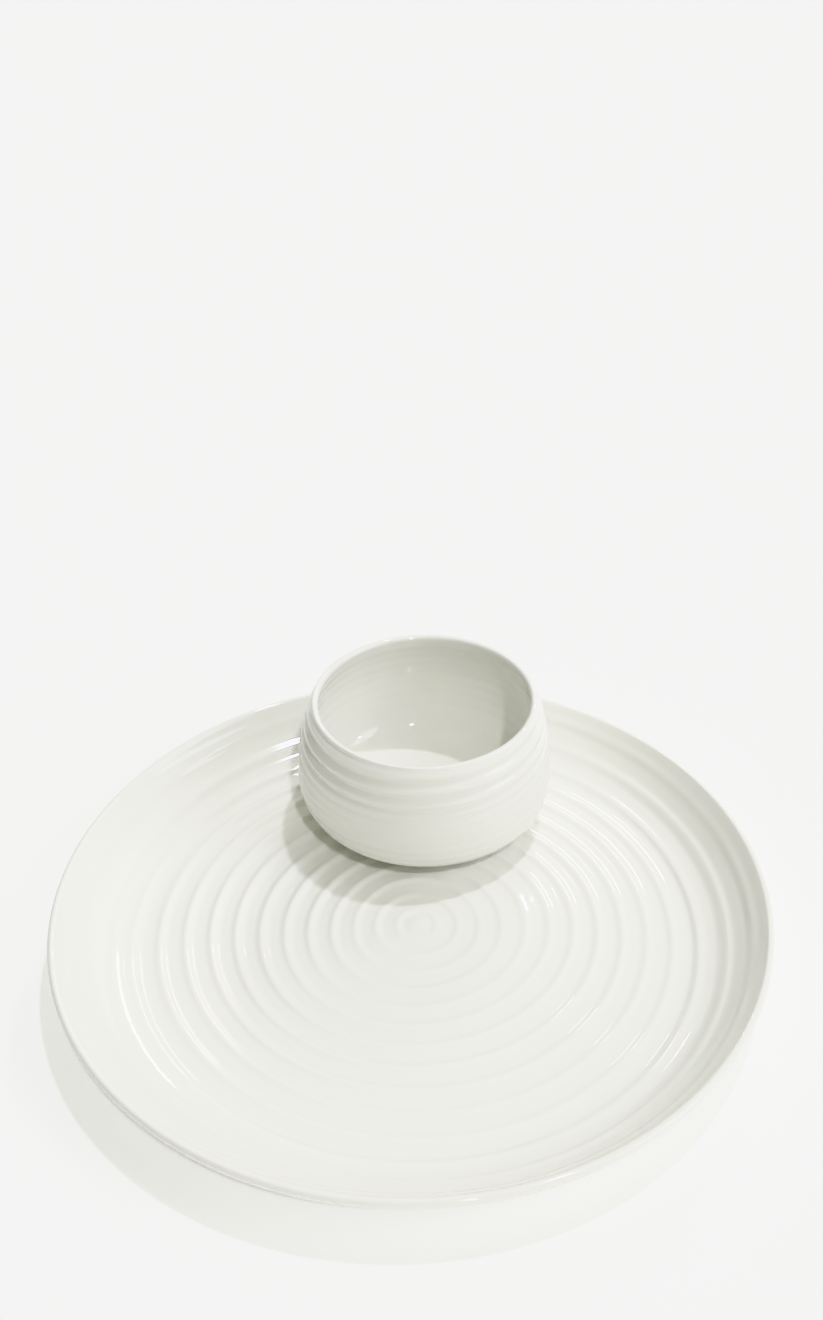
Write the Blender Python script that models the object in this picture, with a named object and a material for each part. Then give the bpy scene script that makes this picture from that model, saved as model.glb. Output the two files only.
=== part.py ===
"""Chip and dip server: a wide shallow platter and a squat ribbed dish that stands loose on it.

Metres, +Z up, +Y away from the front edge. The origin is on the table under the middle of the platter's rim.
"""

import bpy
import numpy as np

MM = 0.001

# Platter
RIM_RADIUS = 160.0
RIM_HEIGHT = 27.0
FLOOR_TOP = 7.0
RING_OFFSET = 2.0  # the throwing rings are centred this far to the right of the rim's centre
RING_DEPTH = 0.35  # half of the height between a groove and a crest
PLATTER_FOOT = (94.0, 100.0)
PLATTER_SIDES = 72

# Dish, heights from the bottom of its own foot
DISH_CENTRE = (2.9, 82.4)
DISH_GAP = 0.3  # between the dish's foot and the crests of the platter's rings
DISH_FOOT = (34.0, 38.5)
DISH_SIDES = 72

GLAZE_WHITE = (0.86, 0.865, 0.83, 1.0)


def clear_scene():
    for obj in list(bpy.data.objects):
        bpy.data.objects.remove(obj, do_unlink=True)


def glaze(name):
    mat = bpy.data.materials.new(name)
    mat.use_nodes = True
    shader = mat.node_tree.nodes["Principled BSDF"]
    shader.inputs["Base Color"].default_value = GLAZE_WHITE
    shader.inputs["Roughness"].default_value = 0.16
    mat.diffuse_color = GLAZE_WHITE
    return mat


def groove_radius(k):
    """Radius of the k-th groove that the thrower's fingers left in the platter."""
    return 14.4 + 10.9 * k - 3.5 * np.sin(np.pi * k / 11.0)


def ring_wave(radius):
    """-1 in a groove, +1 on a crest, for a radius measured from the rings' own centre."""
    counts = np.arange(-1.0, 14.01, 0.05)
    return -np.cos(2 * np.pi * np.interp(radius, groove_radius(counts), counts))


def platter_height(radius, angle):
    """Height of the platter's upper face, ridges included."""
    base = np.interp(
        radius,
        [0, 121, 126, 132, 138, 144, 150, 154, 157],
        [0, 0.0, 0.7, 2.2, 4.6, 8.0, 12.4, 16.0, 19.3],
    )
    centre = np.clip(radius / 8.0, 0, 1)
    flare = np.clip((radius - 118.0) / 20.0, 0, 1)
    left = 0.5 - 0.5 * np.cos(angle)
    edge = np.clip((157.0 - radius) / 6.0, 0, 1)
    depth = RING_DEPTH * centre * (1 - 0.75 * flare * left) * edge
    return FLOOR_TOP + base + depth * ring_wave(radius)


def outline_factor(angle):
    """The rim is thrown by hand, so it is round to within half a millimetre only."""
    return 1 + 0.0026 * np.cos(2 * angle + 0.6) * np.sin(angle) ** 2 + 0.0012 * np.sin(4 * angle)


def platter_loops(angle):
    """Rings of points from the middle of the upper face, over the lip, to the middle of the underside."""
    counts = np.arange(-0.25, 12.76, 0.25)
    loops = []
    for radius in [3.5, 7.5, *groove_radius(counts)]:
        loops.append((np.full_like(angle, radius), platter_height(radius, angle), radius))
    lip = [(-3.1, -0.7), (-2.1, -0.1), (-1.3, 0.0), (-0.5, -0.4), (0.0, -1.3)]
    lip = [(156.2, 25.7)] + [(RIM_RADIUS + r, RIM_HEIGHT + h) for r, h in lip]
    under = [(159.8, 24.2), (158.2, 21.6), (153.5, 16.0), (147.5, 10.2), (140.0, 5.9), (130.0, 3.2)]
    under += [(116.0, 2.3), (102.0, 2.2), (PLATTER_FOOT[1] + 0.5, 0.5), (PLATTER_FOOT[1], 0.0)]
    under += [(PLATTER_FOOT[0], 0.0), (PLATTER_FOOT[0] - 0.5, 0.5), (92.0, 1.7), (50.0, 1.7)]
    for radius, height in lip + under:
        loops.append((np.full_like(angle, radius), np.full_like(angle, height), radius))
    return loops


def mesh_from_loops(name, loops, first, last, closed):
    """One body from rings of points. A fan closes each end, or the last ring joins the first one."""
    count = len(loops[0])
    verts = [tuple(p) for loop in loops for p in loop]
    faces = []
    for i in range(len(loops) - 1 + int(closed)):
        a, b = i * count, (i + 1) % len(loops) * count
        for j in range(count):
            k = (j + 1) % count
            faces.append((a + j, b + j, b + k, a + k))
    if not closed:
        top, bottom = len(verts), len(verts) + 1
        verts += [first, last]
        end = (len(loops) - 1) * count
        for j in range(count):
            k = (j + 1) % count
            faces.append((top, j, k))
            faces.append((bottom, end + k, end + j))
    mesh = bpy.data.meshes.new(name)
    mesh.from_pydata([tuple(c * MM for c in v) for v in verts], [], faces)
    mesh.update()
    mesh.shade_smooth()
    return mesh


def add_object(name, mesh, place, material):
    obj = bpy.data.objects.new(name, mesh)
    obj.location = tuple(c * MM for c in place)
    bpy.context.scene.collection.objects.link(obj)
    mesh.materials.append(material)
    return obj


def make_platter():
    angle = np.arange(PLATTER_SIDES) * 2 * np.pi / PLATTER_SIDES
    loops = []
    for radii, heights, nominal in platter_loops(angle):
        shift = RING_OFFSET * np.clip((157.0 - nominal) / 20.0, 0, 1)
        if heights.min() < 2.5 and nominal < 118:
            shift = 0.0
        radii = radii * (1 + (outline_factor(angle) - 1) * np.clip((nominal - 120) / 30, 0, 1))
        loops.append(np.stack([shift + radii * np.cos(angle), radii * np.sin(angle), heights], 1))
    mesh = mesh_from_loops(
        "platter", loops, (RING_OFFSET, 0, FLOOR_TOP - 0.1), (0, 0, 1.7), closed=False
    )
    return add_object("platter", mesh, (0, 0, 0), glaze("platter_glaze"))


def dish_ribs(height, angle):
    """The spiral rib that the thrower's finger left on the outside: it climbs one rib in each turn."""
    turn = np.interp(
        height,
        [0.0, 12.6, 17.6, 22.6, 27.6, 32.0, 36.6, 41.8, 47.2, 53.7, 61.0, 68.4],
        [10.6, 9.0, 8.0, 7.0, 6.0, 5.0, 4.0, 3.0, 2.0, 1.0, 0.0, -1.0],
    )
    depth = np.interp(
        height,
        [0.0, 36.0, 43.0, 49.0, 56.0, 63.6, 65.4, 66.3],
        [0.0, 0.0, 0.5, 1.0, 1.1, 0.95, 0.3, 0.0],
    )
    crest = 0.5 + 0.5 * np.cos(2 * np.pi * turn + angle - np.pi)
    return depth * (crest - 1)


def dish_outer(height, angle):
    """Radius of the outside's crests, a little fuller low down at the front right and flatter on the right."""
    heights = [0.0, 1.2, 2.4, 3.6, 5.4, 8.0, 12.0, 18.0, 25.0, 31.0, 36.0, 42.0, 47.0, 53.5, 57.0, 61.0, 65.1, 66.3]
    radii = [38.7, 39.2, 42.5, 46.3, 49.7, 53.4, 57.9, 60.9, 62.0, 61.9, 61.4, 60.4, 59.5, 58.0, 57.1, 55.9, 54.15, 53.9]
    heavy = np.exp(-(((height - 13.0) / 9.0) ** 2)) * np.exp(-(((angle - 5.67) / 0.5) ** 2))
    slack = np.exp(-(((height - 33.0) / 15.0) ** 2)) * (0.5 + 0.5 * np.cos(angle)) ** 2
    return np.interp(height, heights, radii) + 0.9 * heavy - 0.9 * slack


def dish_loops(angle):
    """Rings of (radius, height) up the outside, over the lip, down the inside, and in to the floor."""
    outside = [1.6, 2.4, 3.5, 5.2, 7.4, 10.0, 12.8, 15.6, 18.6, 22.0, 26.0, 30.0, 34.0, 37.0, 39.5]
    outside += [41.8, 43.5, 45.2, 46.9, 48.6, 50.3, 52.0, 53.7, 55.4, 57.1, 58.8, 60.5, 62.2, 63.6, 64.9]
    loops = [(dish_outer(h, angle) + dish_ribs(h, angle), h) for h in outside]
    lip = [(53.8, 65.6), (53.1, 66.2), (52.3, 66.35), (51.4, 66.1), (50.7, 65.4)]
    inside = [(50.45, 64.2), (51.4, 60.0), (53.6, 54.0), (55.6, 47.0), (57.1, 39.0), (57.4, 31.0)]
    inside += [(57.0, 24.0), (55.8, 18.0), (53.6, 13.5), (50.6, 10.0), (47.0, 7.6), (42.5, 6.0)]
    inside += [(36.0, 5.5), (20.0, 5.4)]
    return loops + [(np.full_like(angle, r), h) for r, h in lip + inside]


def make_dish():
    angle = np.arange(DISH_SIDES) * 2 * np.pi / DISH_SIDES

    def ring(radius, height):
        return np.stack([radius * np.cos(angle), radius * np.sin(angle), np.full_like(angle, height)], 1)

    foot = [(20.0, 1.6), (DISH_FOOT[0] - 1.0, 1.6), (DISH_FOOT[0] - 0.2, 0.4), (DISH_FOOT[0], 0.0)]
    foot += [(DISH_FOOT[1], 0.0), (DISH_FOOT[1] + 0.3, 0.4)]
    loops = [ring(r, h) for r, h in foot + dish_loops(angle)]
    mesh = mesh_from_loops("dip_dish", loops[::-1], (0, 0, 5.4), (0, 0, 1.6), closed=False)
    base = FLOOR_TOP + RING_DEPTH + DISH_GAP
    return add_object("dip_dish", mesh, (*DISH_CENTRE, base), glaze("dish_glaze"))


def main():
    clear_scene()
    make_platter()
    make_dish()


main()
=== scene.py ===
"""Looks for the chip and dip server: a thrown, white-glazed platter and its loose ribbed dish."""

import math

import bpy
import numpy as np
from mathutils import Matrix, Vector


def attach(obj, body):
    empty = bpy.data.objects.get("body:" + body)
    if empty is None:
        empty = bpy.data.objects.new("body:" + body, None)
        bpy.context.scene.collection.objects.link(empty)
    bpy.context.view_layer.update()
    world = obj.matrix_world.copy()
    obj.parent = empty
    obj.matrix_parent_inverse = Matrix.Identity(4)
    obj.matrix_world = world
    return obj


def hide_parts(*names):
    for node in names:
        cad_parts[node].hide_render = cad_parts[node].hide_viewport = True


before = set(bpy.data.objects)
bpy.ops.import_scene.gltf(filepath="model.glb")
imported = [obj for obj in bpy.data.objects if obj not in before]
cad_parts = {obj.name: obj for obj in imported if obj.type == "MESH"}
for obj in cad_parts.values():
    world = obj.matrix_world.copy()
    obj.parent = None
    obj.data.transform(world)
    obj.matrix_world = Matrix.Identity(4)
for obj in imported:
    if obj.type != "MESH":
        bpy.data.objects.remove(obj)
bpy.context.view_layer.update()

MM = 0.001
TAU = 2 * math.pi

# Camera: from a fit to the rims, for an assumed 320 mm platter, in millimetres and radians
CAMERA_PLACE = (26.6, -506.4, 515.4)
CAMERA_DOWN = 0.57456
CAMERA_TURN = 0.02056
LENS = 42.09
SHIFT = (-0.0281, -0.0519)

# Platter, the same driving sizes as in the CAD
FLOOR_TOP = 7.0
RING_OFFSET = 2.0
RING_DEPTH = 0.35
RING_SKEW = 0.7  # each ring's inward slope is short and steep, its outward slope long
RING_LAG = 0.766  # turns the skewed ring back so that its grooves stay in place
FLOOR_REACH = 20.0

# Dish
DISH_CENTRE = (2.9, 82.4)
DISH_BASE = 7.65


def hermite(x, xs, ys):
    """Smooth curve through the points that doesn't overshoot them."""
    xs, ys = np.asarray(xs, float), np.asarray(ys, float)
    step = np.diff(xs)
    rise = np.diff(ys) / step
    slope = np.zeros_like(ys)
    slope[0], slope[-1] = rise[0], rise[-1]
    same = rise[1:] * rise[:-1] > 0
    w1, w2 = 2 * step[1:] + step[:-1], step[1:] + 2 * step[:-1]
    inner = np.zeros(len(rise) - 1)
    inner[same] = (w1 + w2)[same] / (w1[same] / rise[:-1][same] + w2[same] / rise[1:][same])
    slope[1:-1] = inner
    x = np.clip(x, xs[0], xs[-1])
    i = np.clip(np.searchsorted(xs, x, side="right") - 1, 0, len(step) - 1)
    t = (x - xs[i]) / step[i]
    a, b = ys[i], ys[i + 1]
    m, n = slope[i] * step[i], slope[i + 1] * step[i]
    t2, t3 = t * t, t * t * t
    return a * (2 * t3 - 3 * t2 + 1) + m * (t3 - 2 * t2 + t) + b * (3 * t2 - 2 * t3) + n * (t3 - t2)


def smoothstep(x, low, high):
    t = np.clip((x - low) / (high - low), 0, 1)
    return t * t * (3 - 2 * t)


def mesh_from_grid(name, grid, first, last, values, bare):
    """One body from a grid of points, rings by sides. first and last close its ends.

    values is a number per point for the material, and bare marks the rings of faces that carry no glaze."""
    rings, sides = grid.shape[:2]
    verts = np.concatenate([grid.reshape(-1, 3), [first, last]]) * MM
    i = np.arange(rings - 1)[:, None] * sides
    j = np.arange(sides)[None, :]
    k = (j + 1) % sides
    quads = np.stack([i + j, i + sides + j, i + sides + k, i + k], -1).reshape(-1, 4)
    top, bottom = rings * sides, rings * sides + 1
    j, k = j[0], k[0]
    end = (rings - 1) * sides
    fans = np.concatenate(
        [
            np.stack([np.full_like(j, top), j, k], 1),
            np.stack([np.full_like(j, bottom), end + k, end + j], 1),
        ]
    )
    mesh = bpy.data.meshes.new(name)
    mesh.from_pydata(verts.tolist(), [], quads.tolist() + fans.tolist())
    mesh.update()
    mesh.shade_smooth()
    slots = np.repeat(np.asarray(bare, np.int32), sides).tolist() + [0] * len(fans)
    mesh.polygons.foreach_set("material_index", slots)
    # This per-point value is higher in the grooves, where the glaze colour is darker: glaze pooling and painted
    # shade.
    depth = mesh.attributes.new("glaze_pool_and_groove_shade", "FLOAT", "POINT")
    depth.data.foreach_set("value", np.append(values.ravel(), [values[0, 0], 0.5]).astype(np.float32))
    obj = bpy.data.objects.new(name, mesh)
    bpy.context.scene.collection.objects.link(obj)
    return obj


def groove_radius(k):
    return 14.4 + 10.9 * k - 3.5 * np.sin(np.pi * k / 11.0)


def ring_phase(radius):
    counts = np.arange(-1.0, 14.01, 0.02)
    return np.interp(radius, groove_radius(counts), counts)


def platter_top(radius, angle):
    """(height, glaze pooling with painted groove shade, 0 on a crest to 1 in a groove) of the platter's upper
    face.
    """
    base = hermite(
        radius,
        [0, 100, 121, 126, 132, 138, 144, 150, 154, 157],
        [0, 0, 0.05, 0.65, 2.2, 4.6, 8.0, 12.4, 16.0, 19.27],
    )
    wander = 0.55 * np.sin(2 * angle + radius / 17) + 0.35 * np.sin(3 * angle - radius / 23 + 1.0)
    turn = TAU * ring_phase(radius + wander * smoothstep(radius, 5, 30)) - RING_LAG
    wave = -np.cos(turn + RING_SKEW * (1 - np.cos(turn)))
    uneven = 1 + 0.06 * np.sin(angle + radius / 9) + 0.04 * np.sin(4 * angle + radius / 6)
    uneven = uneven * np.interp(radius, [25, 52, 78, 102, 125, 142], [0.75, 1.3, 1.75, 1.7, 1.75, 2.1])
    one_ring = np.exp(-(((radius - 91.0) / 4.0) ** 2))
    uneven = uneven + 0.3 * one_ring * (0.5 - 0.5 * np.cos(angle - 0.27)) ** 6
    flare = smoothstep(radius, 122, 142)
    left = 0.5 - 0.5 * np.cos(angle)
    front = 0.5 - 0.5 * np.sin(angle)
    uneven = uneven * (0.85 + 0.5 * left) * (1 - 0.3 * front**3)
    depth = RING_DEPTH * uneven * smoothstep(radius, 0, 9) * (1 - 0.75 * flare * left)
    depth = depth * (1 - smoothstep(radius, 150, 156))
    height = FLOOR_TOP + base + RING_DEPTH + depth * (wave - 1)
    # The second value darkens the glaze colour in the grooves: glaze pooling and painted shade.
    return height, 0.5 - 0.5 * wave * np.clip(depth / RING_DEPTH, 0, 1.3)


def outline_factor(angle):
    return 1 + 0.0026 * np.cos(2 * angle + 0.6) * np.sin(angle) ** 2 + 0.0012 * np.sin(4 * angle)


def arc(centre, radius, start, stop, count):
    a = np.radians(np.linspace(start, stop, count))
    return [(centre[0] + radius * math.cos(t), centre[1] + radius * math.sin(t)) for t in a]


def make_platter():
    sides = 384
    angle = np.arange(sides) * TAU / sides
    top = np.concatenate([np.arange(1.2, 150, 0.95), np.linspace(150, 156.7, 10)])
    lip = arc((158.15, 25.15), 1.85, 136, -20, 16)[1:]
    under_r = [159.6, 158.0, 153.5, 147.5, 140.0, 130.0, 116.0, 103.0]
    under_z = [23.4, 21.2, 16.0, 10.3, 6.0, 3.4, 2.4, 2.2]
    t = np.linspace(0, 1, 40)
    along = np.linspace(0, 1, len(under_r))
    under = list(zip(hermite(t, along, under_r), hermite(t, along, under_z)))
    foot = [(101.6, 2.1), (100.8, 1.7), (100.3, 0.9), (100.0, 0.35), (99.6, 0.08), (99.0, 0.0)]
    foot += [(97.0, 0.0), (95.0, 0.0), (94.4, 0.08), (94.0, 0.35), (93.6, 1.0), (92.8, 1.5)]
    foot += [(91.6, 1.68), (89.0, 1.7), (60.0, 1.7), (25.0, 1.7), (3.0, 1.7)]
    rows, values, nominal = [], [], []
    for radius in top:
        height, depth = platter_top(np.full(sides, radius), angle)
        rows.append((radius, height))
        values.append(depth)
        nominal.append(radius)
    for radius, height in lip + under + foot:
        rows.append((radius, np.full(sides, height)))
        values.append(np.full(sides, 0.0 if height > 23.5 else 0.5))
        nominal.append(radius)
    grid = []
    for n, (radius, height) in enumerate(rows):
        upper = n < len(top)
        shift = RING_OFFSET * (1 - smoothstep(radius, 137, 157)) if upper else 0.0
        factor = 1 + (outline_factor(angle) - 1) * smoothstep(radius, 120, 156)
        out = radius * factor
        grid.append(np.stack([shift + out * np.cos(angle), out * np.sin(angle), height], 1))
    first_bare = len(top) + len(lip) + len(under) + 2
    bare = [first_bare <= n < first_bare + 8 for n in range(len(rows) - 1)]
    centre = platter_top(np.zeros(1), np.zeros(1))[0][0]
    obj = mesh_from_grid(
        "thrown_platter", np.array(grid), (RING_OFFSET, 0, centre), (0, 0, 1.7), np.array(values), bare
    )
    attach(obj, "platter")
    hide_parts("platter")
    return obj


def dish_outer(height, angle):
    """Radius of the dish's crests, fuller low down at the front right and flatter on the right."""
    radius = hermite(
        height,
        [0.0, 1.2, 2.4, 3.6, 5.4, 8.0, 12.0, 18.0, 25.0]
        + [31.0, 36.0, 42.0, 47.0, 53.5, 57.0, 61.0, 65.1, 66.3],
        [38.7, 39.2, 42.5, 46.3, 49.7, 53.4, 57.9, 60.9, 62.0]
        + [61.9, 61.4, 60.4, 59.5, 58.0, 57.1, 55.9, 54.15, 53.9],
    )
    heavy = np.exp(-(((height - 13.0) / 9.0) ** 2)) * np.exp(-(((angle - 5.67) / 0.5) ** 2))
    slack = np.exp(-(((height - 33.0) / 15.0) ** 2)) * (0.5 + 0.5 * np.cos(angle)) ** 2
    return radius + 0.9 * heavy - 0.9 * slack


def dish_ribs(height, angle):
    """The spiral that the thrower's finger left: it climbs one rib in each turn and runs out at the lip."""
    turn = hermite(
        height,
        [0.0, 12.6, 17.6, 22.6, 27.6, 32.0, 36.6, 41.8, 47.2, 53.7, 61.0, 68.4],
        [10.6, 9.0, 8.0, 7.0, 6.0, 5.0, 4.0, 3.0, 2.0, 1.0, 0.0, -1.0],
    )
    depth = hermite(
        height,
        [0.0, 12.0, 16.0, 28.0, 33.0, 38.0, 43.0, 49.0, 56.0, 63.6, 65.4, 66.3],
        [0.0, 0.0, 0.15, 0.18, 0.1, 0.3, 0.55, 1.05, 1.2, 1.1, 0.6, 0.0],
    )
    depth = depth * (1 + 0.5 * np.exp(-(((angle - 3.75) / 0.5) ** 2)))
    crest = 0.5 + 0.5 * np.cos(TAU * (turn + (angle - math.pi) / TAU))
    return depth * (crest**0.8 - 1)


def make_dish():
    sides = 288
    angle = np.arange(sides) * TAU / sides
    rows, values = [], []

    def add(radius, height, value=0.5):
        rows.append((np.broadcast_to(radius, (sides,)), np.broadcast_to(height, (sides,))))
        values.append(np.broadcast_to(value, (sides,)))

    for radius, height in ((3.0, 5.4), (10.0, 5.4), (20.0, 5.42)):
        add(radius, height)
    inner_r = [26.0, 36.0, 42.5, 47.0, 50.6, 53.6, 55.8, 57.0, 57.4, 57.1, 55.6, 53.6, 51.4, 50.5]
    inner_z = [5.45, 5.6, 6.1, 7.7, 10.2, 13.7, 18.0, 24.0, 31.0, 39.0, 47.0, 54.0, 60.0, 63.6]
    t = np.linspace(0, 1, 110)
    along = np.linspace(0, 1, len(inner_r))
    for radius, height in zip(hermite(t, along, inner_r), hermite(t, along, inner_z)):
        faint = 0.07 * np.sin(TAU * height / 6.4 + angle) * float(smoothstep(height, 9, 16))
        add(radius + faint * (1 - smoothstep(height, 60, 64)), height, 0.3 - 2 * faint)
    for radius, height in arc((52.35, 64.45), 1.9, 190, 20, 22)[1:]:
        add(radius + dish_ribs(height, angle) * float(smoothstep(radius, 52.0, 54.0)), height, 0.0)
    for height in np.linspace(64.95, 0.6, 160):
        ribs = dish_ribs(height, angle)
        # The value rises in the rib grooves, where the glaze colour is darker: glaze pooling and painted shade.
        add(dish_outer(height, angle) + ribs, height, np.clip(0.1 - ribs, 0, 1))
    foot = [(38.5, 0.3), (38.2, 0.08), (37.6, 0.0), (36.2, 0.0), (34.9, 0.0), (34.3, 0.08)]
    foot += [(34.0, 0.35), (33.6, 1.0), (32.8, 1.4), (31.4, 1.58), (20.0, 1.6), (3.0, 1.6)]
    for radius, height in foot:
        add(radius, height)
    grid = []
    for radius, height in rows:
        out_of_round = 1 + 0.004 * np.sin(2 * angle + 0.9) * smoothstep(height, 20, 66)
        grid.append(
            np.stack(
                [
                    DISH_CENTRE[0] + radius * out_of_round * np.cos(angle),
                    DISH_CENTRE[1] + radius * out_of_round * np.sin(angle),
                    DISH_BASE + height,
                ],
                1,
            )
        )
    last_glazed = len(rows) - 13
    bare = [last_glazed <= n < last_glazed + 8 for n in range(len(rows) - 1)]
    obj = mesh_from_grid(
        "thrown_dish",
        np.array(grid),
        (*DISH_CENTRE, DISH_BASE + 5.4),
        (*DISH_CENTRE, DISH_BASE + 1.6),
        np.array(values),
        bare,
    )
    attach(obj, "dish")
    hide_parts("dip_dish")
    return obj


class Nodes:
    """A short way to write a node tree."""

    def __init__(self, name):
        self.material = bpy.data.materials.new(name)
        self.material.use_nodes = True
        self.tree = self.material.node_tree
        self.shader = self.tree.nodes["Principled BSDF"]

    def add(self, kind, **settings):
        node = self.tree.nodes.new(kind)
        for key, value in settings.items():
            if key in node.inputs:
                node.inputs[key].default_value = value
            else:
                setattr(node, key, value)
        return node

    def link(self, source, target):
        self.tree.links.new(source, target)


def ramp(nodes, stops):
    node = nodes.add("ShaderNodeValToRGB")
    points = node.color_ramp.elements
    for n, (place, colour) in enumerate(stops):
        point = points[n] if n < 2 else points.new(place)
        point.position, point.color = place, (*colour, 1)
    return node


def glaze_material(name):
    """White glaze over a pale body: it pools in the grooves and thins on crests and lips, and the darker,
    yellower groove colour is also painted shade in the grooves.
    """
    n = Nodes(name)
    where = n.add("ShaderNodeTexCoord").outputs["Object"]
    depth = n.add("ShaderNodeAttribute", attribute_name="glaze_pool_and_groove_shade").outputs["Fac"]
    cloud = n.add("ShaderNodeTexNoise", Scale=22.0, Detail=3.0, Roughness=0.5)
    n.link(where, cloud.inputs["Vector"])
    mixed = n.add("ShaderNodeMath", operation="MULTIPLY_ADD")
    n.link(cloud.outputs["Fac"], mixed.inputs[0])
    mixed.inputs[1].default_value = 0.5
    n.link(depth, mixed.inputs[2])
    # The grooves take the darker, yellower end of this ramp: glaze pooling and painted shade.
    colour = ramp(n, [(0.0, (0.915, 0.915, 0.872)), (1.3, (0.9, 0.901, 0.85))])
    n.link(mixed.outputs[0], colour.inputs["Fac"])
    n.link(colour.outputs["Color"], n.shader.inputs["Base Color"])

    mottle = n.add("ShaderNodeTexNoise", Scale=160.0, Detail=2.0)
    n.link(where, mottle.inputs["Vector"])
    rough = ramp(n, [(0.3, (0.04, 0.04, 0.04)), (0.75, (0.07, 0.07, 0.07))])
    n.link(mottle.outputs["Fac"], rough.inputs["Fac"])
    n.link(rough.outputs["Color"], n.shader.inputs["Roughness"])

    peel = n.add("ShaderNodeTexNoise", Scale=240.0, Detail=2.0)
    n.link(where, peel.inputs["Vector"])
    bump = n.add("ShaderNodeBump", Strength=0.06, Distance=0.0004)
    n.link(peel.outputs["Fac"], bump.inputs["Height"])
    n.link(bump.outputs["Normal"], n.shader.inputs["Normal"])
    n.shader.inputs["IOR"].default_value = 1.5
    return n.material


def clay_material():
    """Bare fired clay where the foot stands in the kiln."""
    n = Nodes("bare_clay")
    where = n.add("ShaderNodeTexCoord").outputs["Object"]
    grain = n.add("ShaderNodeTexNoise", Scale=900.0, Detail=4.0, Roughness=0.7)
    n.link(where, grain.inputs["Vector"])
    colour = ramp(n, [(0.3, (0.6, 0.54, 0.45)), (0.7, (0.74, 0.68, 0.59))])
    n.link(grain.outputs["Fac"], colour.inputs["Fac"])
    n.link(colour.outputs["Color"], n.shader.inputs["Base Color"])
    bump = n.add("ShaderNodeBump", Strength=0.5, Distance=0.0002)
    n.link(grain.outputs["Fac"], bump.inputs["Height"])
    n.link(bump.outputs["Normal"], n.shader.inputs["Normal"])
    n.shader.inputs["Roughness"].default_value = 0.85
    return n.material


def make_floor():
    mesh = bpy.data.meshes.new("studio_floor")
    far = FLOOR_REACH
    mesh.from_pydata([(-far, -far, 0), (far, -far, 0), (far, far, 0), (-far, far, 0)], [], [(0, 1, 2, 3)])
    floor = bpy.data.objects.new("studio_floor", mesh)
    floor.location.z = -0.0002
    bpy.context.scene.collection.objects.link(floor)
    n = Nodes("floor_paper")
    n.shader.inputs["Base Color"].default_value = (0.93, 0.93, 0.925, 1)
    n.shader.inputs["Roughness"].default_value = 0.9
    n.shader.inputs["Specular IOR Level"].default_value = 0.2
    n.shader.inputs["Emission Color"].default_value = (1.0, 1.0, 1.0, 1)
    n.shader.inputs["Emission Strength"].default_value = 0.2
    mesh.materials.append(n.material)


def add_sun(name, toward, width, light):
    """A distant lamp in the direction toward, width degrees across. light is its red, green and blue strength."""
    data = bpy.data.lights.new(name, "SUN")
    data.angle = math.radians(width)
    data.energy = math.pi * max(light)
    data.color = tuple(c / max(light) for c in light)
    lamp = bpy.data.objects.new(name, data)
    lamp.rotation_euler = Vector(toward).to_track_quat("Z", "Y").to_euler()
    bpy.context.scene.collection.objects.link(lamp)


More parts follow.
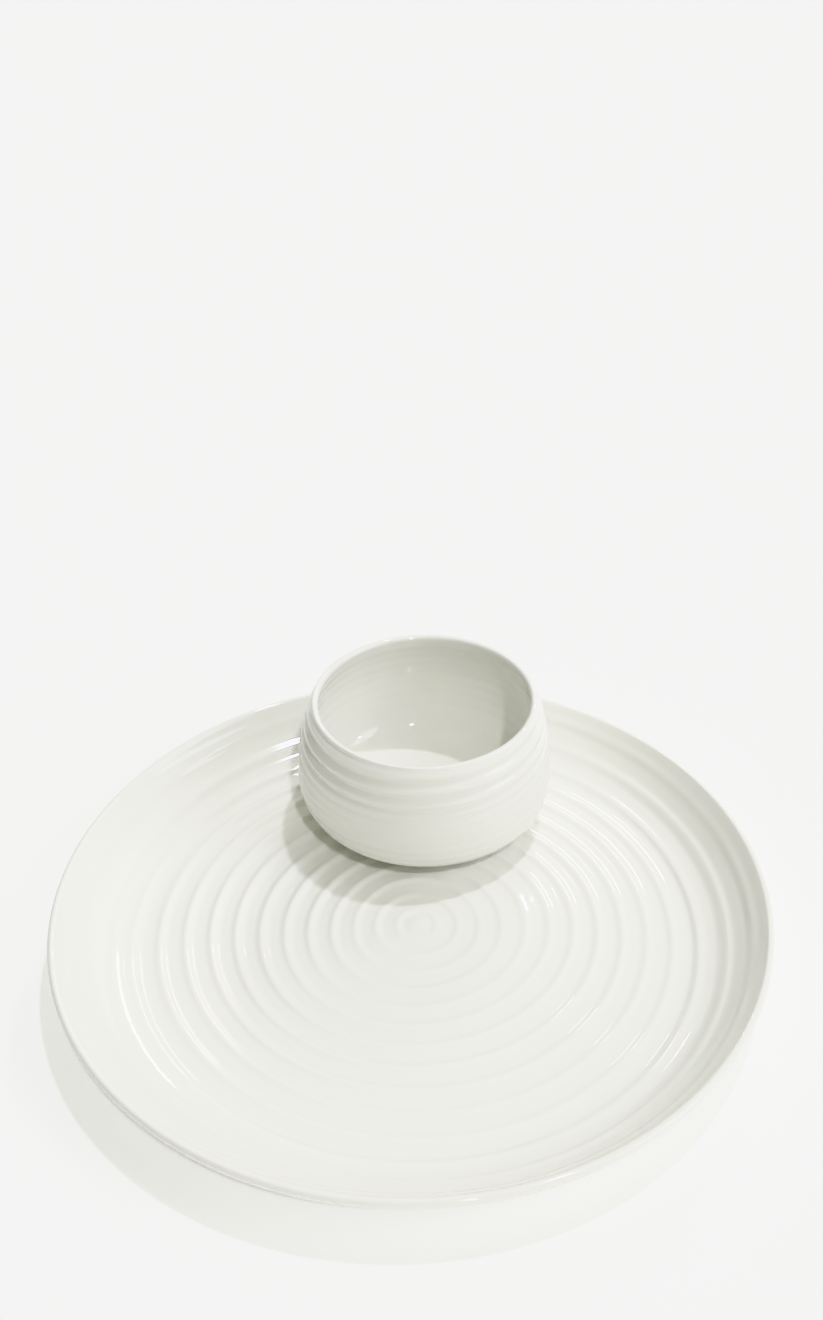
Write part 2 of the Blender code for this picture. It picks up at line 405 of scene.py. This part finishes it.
def light_scene():
    """Soft warm fill that fades on the left, with a few small lamps above, in front and behind.

    The camera itself sees plain pale paper beyond the floor."""
    world = bpy.data.worlds.new("studio")
    bpy.context.scene.world = world
    world.use_nodes = True
    tree = world.node_tree

    def add(kind, **settings):
        node = tree.nodes.new(kind)
        for key, value in settings.items():
            if key in node.inputs:
                node.inputs[key].default_value = value
            else:
                setattr(node, key, value)
        return node

    fill = tree.nodes["Background"]
    fill.inputs["Strength"].default_value = 0.35
    split = add("ShaderNodeSeparateXYZ")
    tree.links.new(add("ShaderNodeTexCoord").outputs["Generated"], split.inputs[0])
    place = add("ShaderNodeMath", operation="MULTIPLY_ADD")
    place.inputs[1].default_value = 0.9
    tree.links.new(split.outputs["Z"], place.inputs[0])
    tree.links.new(split.outputs["X"], place.inputs[2])
    fade = add("ShaderNodeMapRange", **{"From Min": -0.7, "From Max": 0.35})
    tree.links.new(place.outputs[0], fade.inputs["Value"])
    mix = add("ShaderNodeMix", data_type="RGBA", A=(0.12, 0.13, 0.09, 1), B=(1.0, 1.0, 0.75, 1))
    tree.links.new(fade.outputs["Result"], mix.inputs["Factor"])
    tree.links.new(mix.outputs["Result"], fill.inputs["Color"])
    paper = add("ShaderNodeBackground", Color=(0.97, 0.97, 0.97, 1))
    either = add("ShaderNodeMixShader")
    tree.links.new(add("ShaderNodeLightPath").outputs["Is Camera Ray"], either.inputs["Fac"])
    tree.links.new(fill.outputs[0], either.inputs[1])
    tree.links.new(paper.outputs[0], either.inputs[2])
    tree.links.new(either.outputs[0], tree.nodes["World Output"].inputs["Surface"])
    add_sun("overhead", (0.21, 0.24, 1.0), 2.5, (0.24, 0.24, 0.27))
    add_sun("front", (0.24, -0.71, 1.0), 2.0, (0.27, 0.27, 0.29))
    add_sun("right", (0.8, -0.2, 0.5), 36.0, (0.24, 0.235, 0.28))
    add_sun("right_low", (1.35, -0.3, 1.0), 2.0, (0.03, 0.03, 0.03))
    add_sun("behind", (0.05, 0.6, 0.8), 60.0, (0.12, 0.12, 0.135))
    for n, t in enumerate(np.linspace(0, 1, 7)):
        toward = (0.13 + 0.13 * t, 0.905 - 0.13 * t, 0.40 + 0.18 * t)
        add_sun(f"tube_{n + 1}", toward, 2.4, (0.02, 0.02, 0.02))
    add_sun("behind_left", (-0.12, 0.81, 0.58), 2.0, (0.012, 0.012, 0.012))
    add_sun("behind_near", (0.105, 0.75, 0.655), 1.5, (0.008, 0.008, 0.008))


def add_camera():
    data = bpy.data.cameras.new("view")
    data.lens = LENS
    data.sensor_width = 36.0
    data.shift_x, data.shift_y = SHIFT
    data.clip_start, data.clip_end = 0.01, 50
    camera = bpy.data.objects.new("view", data)
    camera.location = tuple(c * MM for c in CAMERA_PLACE)
    camera.rotation_euler = (math.pi / 2 - CAMERA_DOWN, 0, CAMERA_TURN)
    bpy.context.scene.collection.objects.link(camera)
    bpy.context.scene.camera = camera


add_camera()
platter = make_platter()
dish = make_dish()
clay = clay_material()
for piece in (platter, dish):
    piece.data.materials.append(glaze_material(piece.name + "_glaze"))
    piece.data.materials.append(clay)
make_floor()
light_scene()
bpy.context.scene.view_settings.view_transform = "Khronos PBR Neutral"
